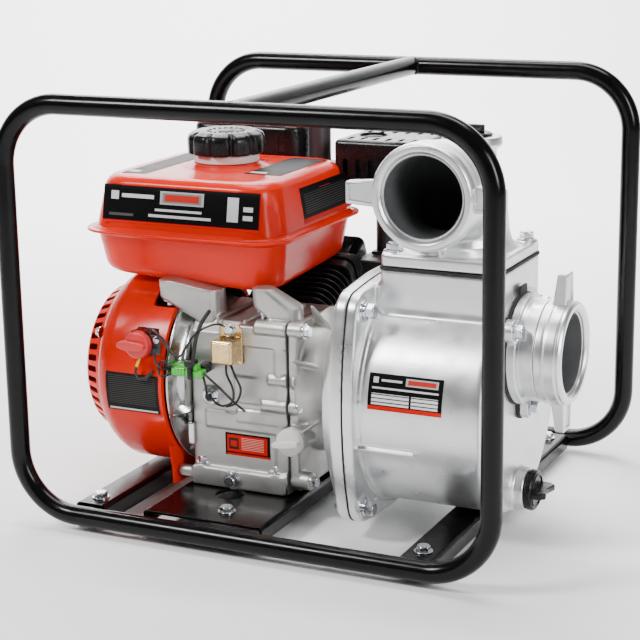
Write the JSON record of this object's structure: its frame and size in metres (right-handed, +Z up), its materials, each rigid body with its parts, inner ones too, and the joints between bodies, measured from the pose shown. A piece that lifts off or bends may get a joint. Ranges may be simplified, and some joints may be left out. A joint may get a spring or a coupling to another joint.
{
  "type": "engine driven water pump",
  "caption": "Engine-driven trash pump: round aluminium pump with elbow outlet and front inlet, small engine with fuel tank and recoil starter, all in a black tube frame.",
  "frame": {"origin": "middle of the bounding box, at floor level under the rubber feet", "axes": "+Z up; +X along the crankshaft from the recoil starter to the suction port; -Y towards the discharge mouth and the fuel tank's label side"},
  "size_m": [0.5313, 0.4492, 0.4361],
  "materials": {
    "black_paint": "gloss",
    "dark_steel": "satin",
    "red_paint": "gloss",
    "cast_aluminium": "as cast, matt",
    "bright_aluminium": "silver-painted casting, satin",
    "black_casting": "matt",
    "black_plastic": "satin",
    "grey_plastic": "satin",
    "white_plastic": "satin",
    "red_plastic": "satin",
    "green_plastic": "satin",
    "rubber": "matt",
    "zinc": "bright zinc plate",
    "steel": "machined",
    "cast_iron": "as cast",
    "gold_zinc": "yellow zinc plate",
    "foam": "open foam"
  },
  "bodies": {
    "chassis": {"frame_loop_near": "black_paint", "frame_loop_far": "black_paint", "top_crossbar": "black_paint", "cross_channel_left": "black_paint", "cross_channel_right": "black_paint", "engine_plate": "black_paint", "rubber_foot_left_near": "rubber", "rubber_foot_left_far": "rubber", "rubber_foot_right_near": "rubber", "rubber_foot_right_far": "rubber", "crankcase": "cast_aluminium", "crankcase_side_cover": "cast_aluminium", "cylinder_barrel": "black_casting", "cylinder_head": "black_casting", "rocker_cover": "black_paint", "spark_plug": "white_plastic", "piston": "zinc", "flywheel_shroud": "zinc", "blower_housing": "red_paint", "recoil_cover": "red_paint", "stop_switch_base": "black_plastic", "oil_alert_unit": "gold_zinc", "switch_lead": "rubber", "oil_alert_lead": "rubber", "lead_connector": "green_plastic", "oil_drain_bolt": "zinc", "fuel_tank": "red_paint", "tank_neck_ring": "white_plastic", "carburetor": "cast_aluminium", "air_cleaner_base": "dark_steel", "air_cleaner_cover": "black_plastic", "air_filter_element": "foam", "muffler": "black_casting", "muffler_guard": "black_paint", "pump_adapter": "bright_aluminium", "mechanical_seal": "rubber", "pump_casing": "bright_aluminium", "volute": "cast_iron", "discharge_gasket": "rubber", "discharge_elbow": "bright_aluminium", "suction_gasket": "rubber", "suction_flange": "bright_aluminium"},
    "crank_rotor": {"crankshaft": "steel", "flywheel_fan": "cast_iron", "impeller": "cast_iron"},
    "camshaft_body": {"camshaft": "steel"},
    "pulley_body": {"recoil_pulley": "black_plastic"},
    "starter_handle_body": {"starter_handle": "black_plastic"},
    "switch_knob_body": {"stop_switch_knob": "red_plastic"},
    "fuel_cap_body": {"fuel_cap": "black_plastic"},
    "dipstick_body": {"dipstick": "grey_plastic"},
    "fill_plug_body": {"fill_plug": "black_plastic"},
    "drain_plug_body": {"drain_plug": "black_plastic"},
    "choke_body": {"choke_lever": "grey_plastic"},
    "fuel_valve_body": {"fuel_valve_lever": "grey_plastic"},
    "throttle_body": {"throttle_lever": "steel"},
    "discharge_nut_body": {"discharge_claw_nut": "bright_aluminium"},
    "suction_nut_body": {"suction_claw_nut": "bright_aluminium"},
    "flap_body": {"check_valve_flap": "rubber"},
    "wing_nut_body": {"air_cleaner_wing_nut": "zinc"}
  },
  "joints": [
    {"name": "crank_spin", "type": "hinge", "parent": "chassis", "child": "crank_rotor", "pos_m": [0, -0.04, 0.1335], "axis": [1, 0, 0], "continuous": true},
    {"name": "cam_spin", "type": "hinge", "parent": "chassis", "child": "camshaft_body", "pos_m": [0, -0.06, 0.0795], "axis": [1, 0, 0], "continuous": true},
    {"name": "starter_pull", "type": "slide", "parent": "chassis", "child": "starter_handle_body", "axis": [0, 1, 0], "range_m": [0, 0.27], "stiffness_N_per_m": 30, "springref_m": -0.05},
    {"name": "pulley_spin", "type": "hinge", "parent": "chassis", "child": "pulley_body", "pos_m": [0, -0.04, 0.1335], "axis": [-1, 0, 0], "range_deg": [0, 352]},
    {"name": "stop_switch_turn", "type": "hinge", "parent": "chassis", "child": "switch_knob_body", "pos_m": [-0.153, -0.144, 0.179], "axis": [0, -1, 0], "range_deg": [0, 60]},
    {"name": "fuel_cap_turn", "type": "hinge", "parent": "chassis", "child": "fuel_cap_body", "pos_m": [-0.135, 0.015, 0.35], "axis": [0, 0, 1], "range_deg": [0, 120]},
    {"name": "dipstick_turn", "type": "hinge", "parent": "chassis", "child": "dipstick_body", "pos_m": [0.002, -0.1215, 0.089], "axis": [0, -1, 0], "range_deg": [0, 340]},
    {"name": "fill_plug_turn", "type": "hinge", "parent": "chassis", "child": "fill_plug_body", "pos_m": [0.1494, -0.012, 0.3858], "axis": [0, 0, 1], "range_deg": [0, 340]},
    {"name": "drain_plug_turn", "type": "hinge", "parent": "chassis", "child": "drain_plug_body", "pos_m": [0.222, -0.04, 0.043], "axis": [1, 0, 0], "range_deg": [0, 340]},
    {"name": "choke_turn", "type": "hinge", "parent": "chassis", "child": "choke_body", "pos_m": [-0.14, 0.1183, 0.214], "axis": [0, 1, 0], "range_deg": [0, 25]},
    {"name": "fuel_valve_turn", "type": "hinge", "parent": "chassis", "child": "fuel_valve_body", "pos_m": [-0.14, 0.1183, 0.1885], "axis": [0, 1, 0], "range_deg": [0, 60]},
    {"name": "throttle_turn", "type": "hinge", "parent": "chassis", "child": "throttle_body", "pos_m": [-0.125, 0.128, 0.2268], "axis": [0, 0, 1], "range_deg": [-25, 25]},
    {"name": "discharge_nut_turn", "type": "hinge", "parent": "chassis", "child": "discharge_nut_body", "pos_m": [0.1494, -0.145, 0.3455], "axis": [0, -1, 0], "range_deg": [0, 340]},
    {"name": "suction_nut_turn", "type": "hinge", "parent": "chassis", "child": "suction_nut_body", "pos_m": [0.2659, -0.04, 0.1859], "axis": [1, 0, 0], "range_deg": [0, 340]},
    {"name": "flap_swing", "type": "hinge", "parent": "chassis", "child": "flap_body", "pos_m": [0.2137, -0.04, 0.2261], "axis": [0, 1, 0], "range_deg": [0, 50]},
    {"name": "wing_nut_turn", "type": "hinge", "parent": "chassis", "child": "wing_nut_body", "pos_m": [-0.19, 0.1745, 0.3663], "axis": [0, 0, 1], "range_deg": [0, 340]}
  ],
  "couplings": [
    {"joint": "cam_spin", "follows": "crank_spin", "ratio": -0.5},
    {"joint": "pulley_spin", "follows": "starter_pull", "rad_per_m": 22.727}
  ]
}
